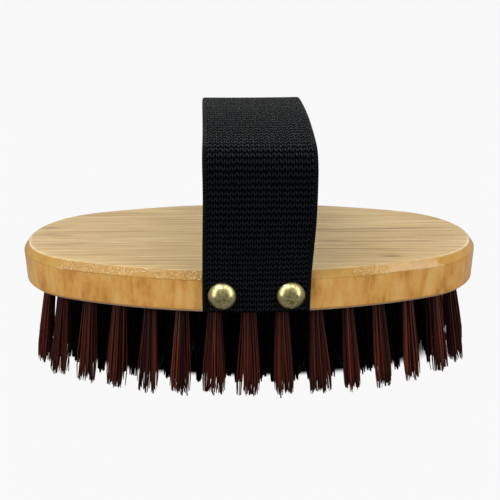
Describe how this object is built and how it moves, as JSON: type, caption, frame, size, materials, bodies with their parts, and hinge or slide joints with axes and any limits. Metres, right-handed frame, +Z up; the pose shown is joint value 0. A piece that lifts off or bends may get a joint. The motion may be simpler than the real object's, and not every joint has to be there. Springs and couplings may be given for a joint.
{
  "type": "palm brush",
  "caption": "Oval wooden palm brush for scrubbing and grooming: a bevelled block with stiff bristle tufts below and a webbing hand strap nailed across the top.",
  "frame": {"origin": "on the plane of the bristle tips, under the middle of the block", "axes": "+X along the block's length, +Y across it away from the near side, +Z up through the strap"},
  "size_m": [0.217, 0.1148, 0.1218],
  "materials": {
    "wood": "clear lacquer, glossy",
    "webbing": "heavy woven webbing",
    "brass": "polished, slightly dull",
    "bristle": "satin filament",
    "anchor_wire": "bright drawn wire"
  },
  "bodies": {
    "root": {"wooden_block": "wood", "hand_strap": "webbing", "near_left_nail": "brass", "near_right_nail": "brass", "far_left_nail": "brass", "far_right_nail": "brass", "outer_ring_tufts_near": "bristle", "outer_ring_tufts_far": "bristle", "second_ring_tufts_near": "bristle", "second_ring_tufts_far": "bristle", "third_ring_tufts_near": "bristle", "third_ring_tufts_far": "bristle", "centre_row_tufts": "bristle", "outer_ring_anchors_near": "anchor_wire", "outer_ring_anchors_far": "anchor_wire", "second_ring_anchors_near": "anchor_wire", "second_ring_anchors_far": "anchor_wire", "third_ring_anchors_near": "anchor_wire", "third_ring_anchors_far": "anchor_wire", "centre_row_anchors": "anchor_wire"}
  },
  "joints": []
}
